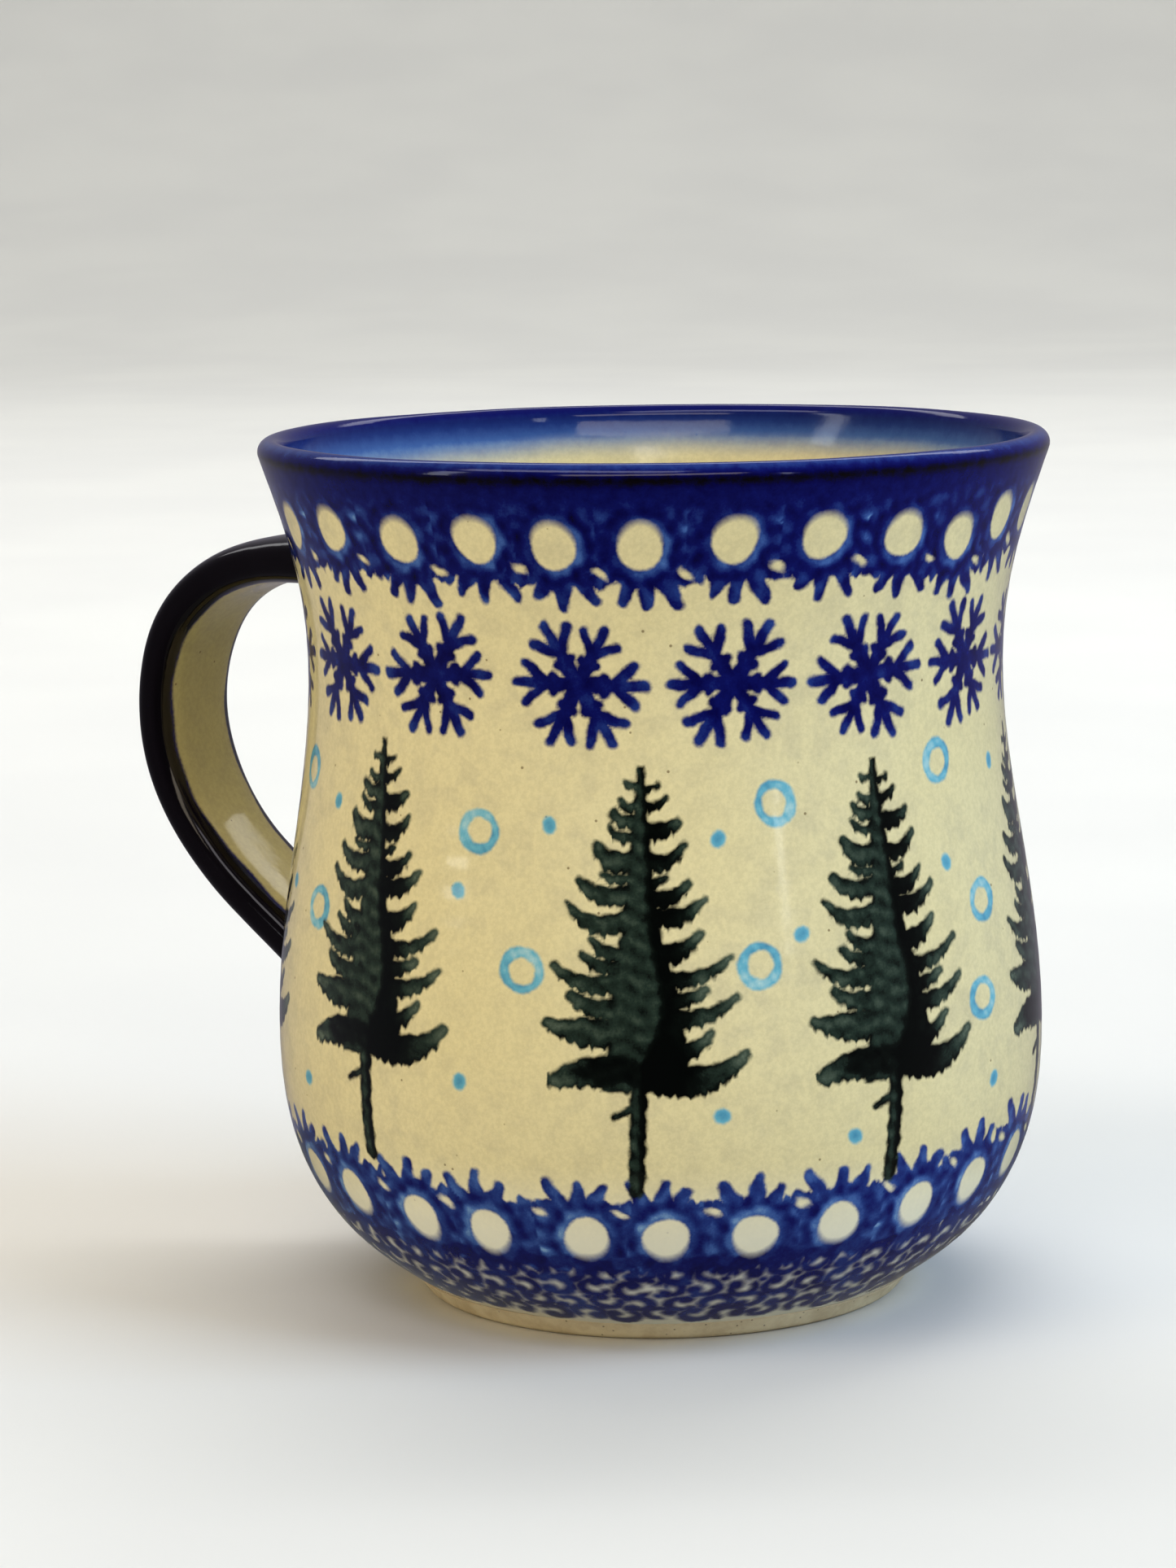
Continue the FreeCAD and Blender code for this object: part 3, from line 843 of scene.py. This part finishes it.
def build_pot():
    rows = steps(0.0, S_RIM, GRID)
    for k, (start, end) in enumerate(zip(PANEL_EDGES, PANEL_EDGES[1:])):
        panel = skin_patch(f"outer_glaze_{k + 1}", rows, math.radians(start), math.radians(end),
                           PAINTED, painted)
        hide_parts("outer_glaze")

    def over_the_lip(angle, s):
        """The painted outside up to the lip, then the rim's own fields."""
        wall, rim = painted(angle, s), rim_fields(angle, s)
        share = np.clip((s - S_RIM) / (S_LIP - S_RIM - 0.8), 0, 1)
        return {k: wall[k] + (rim[k] - wall[k]) * share for k in wall}

    lip_end = S_LIP + 4.6
    rows = np.concatenate([
        steps(S_RIM, S_LIP, 0.24),
        steps(S_LIP, lip_end, 0.12)[1:],
        steps(lip_end, S_BAND, 0.25)[1:],
    ])
    rim = skin_patch("rim_band", rows, 0.0, FULL_TURN, PAINTED, over_the_lip)
    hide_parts("rim_band")
    fade_end = S_BAND + 8
    floor_middle = pot.length - 0.05
    rows = np.concatenate([steps(S_BAND, fade_end, 0.4), steps(fade_end, floor_middle, 0.9)[1:]])
    inside = skin_patch("inner_glaze", rows, 0.0, FULL_TURN, PAINTED, rim_fields)
    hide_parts("inner_glaze")


FOOT_INNER = FOOT_RADIUS - FOOT_WIDTH
FOOT_EDGE = 0.6             # rounding of the ring's edges
RECESS_DOME = 0.12          # how much higher the recess is in its middle


def foot_section():
    """Up the bare ring: recess, inner edge, resting face, outer edge, glaze line."""
    inner_mid = FOOT_INNER + 0.3 * FOOT_EDGE, 0.3 * FOOT_EDGE
    inner_round, _ = arc_points((FOOT_INNER, FOOT_EDGE), inner_mid, (FOOT_INNER + FOOT_EDGE, 0.0), 8)
    outer_start = FOOT_RADIUS - FOOT_EDGE, 0.0
    outer_round, _ = arc_points(outer_start, (FOOT_RADIUS - 0.18, 0.16), (FOOT_RADIUS + 0.35, 0.62), 8)
    r, z = OUTER_WALL[0]
    return Section(np.vstack([
        [(FOOT_INNER, RECESS_HEIGHT + 0.3)], inner_round, outer_round, [(r, z), (r + 0.05, z + 0.1)],
    ]))


def recess_section():
    """From the middle of the glazed recess out to where it turns down into the ring."""
    top = [(r, RECESS_HEIGHT + RECESS_DOME * (1 - (r / FOOT_INNER) ** 2))
           for r in np.linspace(0.05, FOOT_INNER - 1.2, 60)]
    start, end = (FOOT_INNER - 1.1, RECESS_HEIGHT), (FOOT_INNER + 0.1, 1.0)
    corner, _ = arc_points(start, (FOOT_INNER - 0.35, RECESS_HEIGHT - 0.22), end, 12)
    return Section(np.vstack([top, corner]))


def build_foot():
    ring, recess = foot_section(), recess_section()
    piece = skin_patch("foot_ring", steps(0.0, ring.length, 0.22), 0.0, FULL_TURN, CLAY,
                       section=ring, rough=0.35)
    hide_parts("foot_ring")
    under = skin_patch("base_glaze", steps(0.0, recess.length, 0.5), 0.0, FULL_TURN, CREAM_GLAZE,
                       section=recess, rough=0.3)
    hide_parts("base_glaze")


# ---- the handle ---------------------------------------------------------------------------

# The strap's middle line as in the CAD node: (distance from the axis, height, width, thickness).
STRAP = [
    (37.0, 82.5, 20.0, 7.0),
    (44.0, 82.9, 18.6, 6.3),
    (50.5, 82.4, 17.0, 5.9),
    (57.3, 80.3, 16.0, 5.7),
    (63.1, 75.6, 15.4, 5.6),
    (66.2, 68.7, 15.0, 5.5),
    (66.6, 61.0, 15.0, 5.5),
    (64.1, 53.2, 15.0, 5.5),
    (59.1, 46.3, 15.2, 5.5),
    (53.0, 41.0, 15.8, 5.6),
    (46.8, 36.4, 16.8, 5.9),
    (39.8, 31.2, 18.0, 6.4),
]
SECTION_POWER = 3.2         # squareness of the strap's superellipse section
HANDLE_MIDDLE = (52, 60)    # a place inside the handle's opening
SLIP_SPREAD = 1.1           # how far the joint spreads over the wall
SLIP_REACH = 2.4            # how far it climbs the strap
STRAP_DEPTH = 2.0           # how deep its ends go into the wall
HANDLE_BAND = 2.2           # how far the cobalt comes round each edge onto the inner face


def build_handle():
    """The strap with both slip collars, as one skin under the glaze."""
    stations = np.array(STRAP)
    line = stations[:, :2]
    path = Section(clamped_spline(line, line[1] - line[0], line[-1] - line[-2], FINE))
    marks = np.array([path.s[np.argmin(np.hypot(*(path.points - p).T))] for p in line])
    around, along = 150, steps(1.2, path.length - 1.2, 0.33)
    turn = np.linspace(0, FULL_TURN, around, endpoint=False)
    t, turn = np.meshgrid(along, turn, indexing="ij")
    r, z = path.at(t)
    r1, z1 = path.at(t + 0.3)
    r0, z0 = path.at(t - 0.3)
    heading = unit(np.stack([r1 - r0, z1 - z0], -1))
    out_r, out_z = -heading[..., 1], heading[..., 0]
    flip = np.sign(out_r * (r - HANDLE_MIDDLE[0]) + out_z * (z - HANDLE_MIDDLE[1]))
    out_r, out_z = out_r * flip, out_z * flip
    width = np.interp(t, marks, stations[:, 2])
    thick = np.interp(t, marks, stations[:, 3])
    power = 2 / SECTION_POWER
    side = np.sign(np.cos(turn)) * abs(np.cos(turn)) ** power
    up = np.sign(np.sin(turn)) * abs(np.sin(turn)) ** power
    dent = 0.05 + 0.03 * np.sin(t / 6.0) + 0.03 * np.sin(t / 2.7 + 2 * turn)

    def place(grow):
        half_side = side * (width / 2 + grow - dent)
        half_up = up * (thick / 2 + grow - dent)
        radial = r + out_r * half_up
        return np.stack([-radial, half_side, z + out_z * half_up], -1)

    points = place(0.0)
    for _ in range(2):
        clear = np.hypot(points[..., 0], points[..., 1]) - wall_radius(points[..., 2])
        grow = SLIP_SPREAD * np.clip(1 - clear / SLIP_REACH, 0, 1.1) ** 2
        points = place(grow)
    from_axis = np.hypot(points[..., 0], points[..., 1])
    buried = np.maximum(1, (wall_radius(points[..., 2]) - STRAP_DEPTH) / from_axis)
    points[..., :2] *= buried[..., None]
    drift = 0.14 * np.sin(t / 3.1) + 0.08 * np.sin(t / 1.3 + 1) + 0.2 * np.sin(t / 9)
    edge = np.where(up < -0.55, abs(side) * width / 2 - (width / 2 - HANDLE_BAND) + drift, HANDLE_BAND)
    depth = 1.66 - 0.45 * np.exp(-((edge / 0.5) ** 2)) + 0.06 * np.sin(t / 4)
    fields = {
        "cobalt": edge.ravel(), "fir": np.full(edge.size, -FAR), "sky": np.full(edge.size, -FAR),
        "depth": depth.ravel(), "bleed": np.full(edge.size, 0.30),
    }
    faces = grid_faces(len(along), around, True)
    points = points.reshape(-1, 3)
    piece = make_mesh("handle_strap", points, faces, SHADED_HANDLE_GLAZE, fields=fields)
    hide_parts("handle_strap", "upper_handle_slip", "lower_handle_slip")


# ---- studio -------------------------------------------------------------------------------

CAMERA_AZIMUTH = math.radians(30.0)     # the view is turned this far about the mug's axis
CAMERA_AT = (0.2608, -0.4517, 0.1390)   # metres; the angles below are in radians
CAMERA_DOWN = 0.1534
CAMERA_YAW = -0.0153
CAMERA_ROLL = -0.0148
LENS = 105.2


def build_camera():
    heading = CAMERA_AZIMUTH - CAMERA_YAW
    level = Vector((-math.sin(heading), math.cos(heading), 0))
    ahead = level * math.cos(CAMERA_DOWN) - Vector((0, 0, 1)) * math.sin(CAMERA_DOWN)
    right = ahead.cross(Vector((0, 0, 1))).normalized()
    upward = right.cross(ahead)
    c, s = math.cos(CAMERA_ROLL), math.sin(CAMERA_ROLL)
    right, upward = right * c + upward * s, upward * c - right * s
    data = bpy.data.cameras.new("camera")
    data.lens = LENS
    camera = bpy.data.objects.new("camera", data)
    turn = Matrix((right, upward, -ahead)).transposed()
    camera.matrix_world = Matrix.Translation(CAMERA_AT) @ turn.to_4x4()
    bpy.context.collection.objects.link(camera)
    bpy.context.scene.camera = camera


NEAR_TABLE = 0.085          # radius of the patch of table that the glaze mirrors


def stage_piece(name, points, faces, material):
    mesh = bpy.data.meshes.new(name)
    mesh.from_pydata([tuple(p) for p in points], [], faces)
    mesh.polygons.foreach_set("use_smooth", [True] * len(faces))
    mesh.materials.append(material)
    piece = bpy.data.objects.new(name, mesh)
    bpy.context.collection.objects.link(piece)
    return piece


def build_floor():
    """A pale matt table that sweeps up into a pale wall well behind the mug."""
    sh = Shader("pale_table")
    tone = sh.remap(sh.noise(120.0, 2.0), 0.3, 0.7)
    colour = sh.mix(tone, (0.69, 0.69, 0.675, 1), (0.66, 0.66, 0.65, 1))
    material = sh.finish(colour, 0.9, Specular_IOR_Level=0.0)
    away = Vector((-math.sin(CAMERA_AZIMUTH), math.cos(CAMERA_AZIMUTH), 0))
    across = Vector((away.y, -away.x, 0))
    front, start, sweep, half, wall_top = -2.4, 1.7, 1.9, 2.6, 3.2
    bend = np.linspace(0, math.pi / 2, 24)
    profile = [(front, 0.0)]
    profile += [(start + sweep * math.sin(a), sweep - sweep * math.cos(a)) for a in bend]
    profile += [(start + sweep, wall_top)]
    points = [away * reach + across * side + Vector((0, 0, height))
              for reach, height in profile for side in (-half, half)]
    faces = [(2 * k, 2 * k + 1, 2 * k + 3, 2 * k + 2) for k in range(len(profile) - 1)]
    stage_piece("table", points, faces, material).visible_glossy = False

    # Only this patch is mirrored in the glaze; the eye sees the table itself.
    count = 64
    turns = [FULL_TURN * k / count for k in range(count)]
    circle = [(NEAR_TABLE * math.cos(a), NEAR_TABLE * math.sin(a), 0.0) for a in turns]
    patch = stage_piece("mirrored_table", circle, [tuple(range(count))], material)
    patch.visible_camera = False
    patch.visible_diffuse = False
    patch.visible_shadow = False


# Each soft box: (name, azimuth from the camera's side, height, distance, width, tall, watts, colour).
# The lamps light the mug and aren't mirrored in its glaze. The windows are.
LAMPS = [
    ("key", 70, 1.15, 1.6, 1.1, 1.1, 27.5, (0.60, 0.78, 1.0)),
    ("fill", -66, 0.8, 1.7, 1.3, 1.0, 8.5, (1.0, 0.70, 0.24)),
    ("top", 170, 1.7, 0.9, 1.4, 0.9, 10, (1.0, 1.0, 0.98)),
]
WALL_WASH = ("wall_wash", 180, 2.2, 0.9, 2.4, 0.6, 25, (1.0, 0.98, 0.93))
WINDOWS = [
    ("front_window", 38, 0.32, 1.4, 0.06, 0.34, 0.20, (0.95, 0.98, 1.0)),
    ("side_window", -64, 0.60, 1.5, 0.22, 0.80, 1.6, (0.95, 0.98, 1.0)),
    ("wide_window", 0, 0.82, 1.5, 1.5, 0.42, 5.0, (1.0, 0.88, 0.70)),
    ("high_window", -30, 1.45, 1.0, 1.7, 0.45, 6.0, (1.0, 0.97, 1.0)),
    ("back_window", 180, 1.1, 1.0, 2.4, 0.3, 4.5, (1.0, 1.0, 1.0)),
]
MUG_MIDDLE = (0, 0, 0.06)
WALL_MIDDLE = (-2.6 * math.sin(CAMERA_AZIMUTH), 2.6 * math.cos(CAMERA_AZIMUTH), 0.5)


def soft_box(name, azimuth, height, distance, width, tall, watts, colour, mirrored, aim=MUG_MIDDLE):
    turn = math.radians(azimuth) + CAMERA_AZIMUTH - math.pi / 2
    at = Vector((distance * math.cos(turn), distance * math.sin(turn), height))
    data = bpy.data.lights.new(name, "AREA")
    data.shape = "RECTANGLE"
    data.size = width
    data.size_y = tall
    data.energy = watts
    data.color = colour
    light = bpy.data.objects.new(name, data)
    light.location = at
    light.rotation_euler = (Vector(aim) - at).to_track_quat("-Z", "Y").to_euler()
    light.visible_glossy = mirrored
    bpy.context.collection.objects.link(light)


def build_lights():
    """A soft, bright room for the eye, and a dim one with a few windows for the glaze to mirror."""
    world = bpy.data.worlds.new("soft_room")
    world.use_nodes = True
    nodes, links = world.node_tree.nodes, world.node_tree.links
    room = nodes["Background"]
    room.inputs["Color"].default_value = (1.0, 0.985, 0.93, 1)
    room.inputs["Strength"].default_value = 0.38
    mirrored = nodes.new("ShaderNodeBackground")
    mirrored.inputs["Color"].default_value = (0.92, 0.88, 1.0, 1)
    # What the glaze mirrors is dim on the camera's side and brighter to the sides and behind.
    direction = nodes.new("ShaderNodeTexCoord")
    away = nodes.new("ShaderNodeVectorMath")
    away.operation = "DOT_PRODUCT"
    away.inputs[1].default_value = (-math.sin(CAMERA_AZIMUTH), math.cos(CAMERA_AZIMUTH), 0)
    strength = nodes.new("ShaderNodeMapRange")
    strength.inputs["From Min"].default_value = -1.0
    strength.inputs["To Min"].default_value = 0.06
    strength.inputs["To Max"].default_value = 0.30
    links.new(direction.outputs["Generated"], away.inputs[0])
    links.new(away.outputs["Value"], strength.inputs["Value"])
    links.new(strength.outputs[0], mirrored.inputs["Strength"])
    ray = nodes.new("ShaderNodeLightPath")
    choice = nodes.new("ShaderNodeMixShader")
    links.new(ray.outputs["Is Glossy Ray"], choice.inputs[0])
    links.new(room.outputs[0], choice.inputs[1])
    links.new(mirrored.outputs[0], choice.inputs[2])
    links.new(choice.outputs[0], nodes["World Output"].inputs["Surface"])
    bpy.context.scene.world = world
    for lamp in LAMPS:
        soft_box(*lamp, mirrored=False)
    soft_box(*WALL_WASH, mirrored=False, aim=WALL_MIDDLE)
    for window in WINDOWS:
        soft_box(*window, mirrored=True)
    view = bpy.context.scene.view_settings
    view.view_transform = "Standard"
    view.look = "Medium High Contrast"
    view.exposure = -0.27


build_pot()
build_foot()
build_handle()
build_camera()
build_floor()
build_lights()
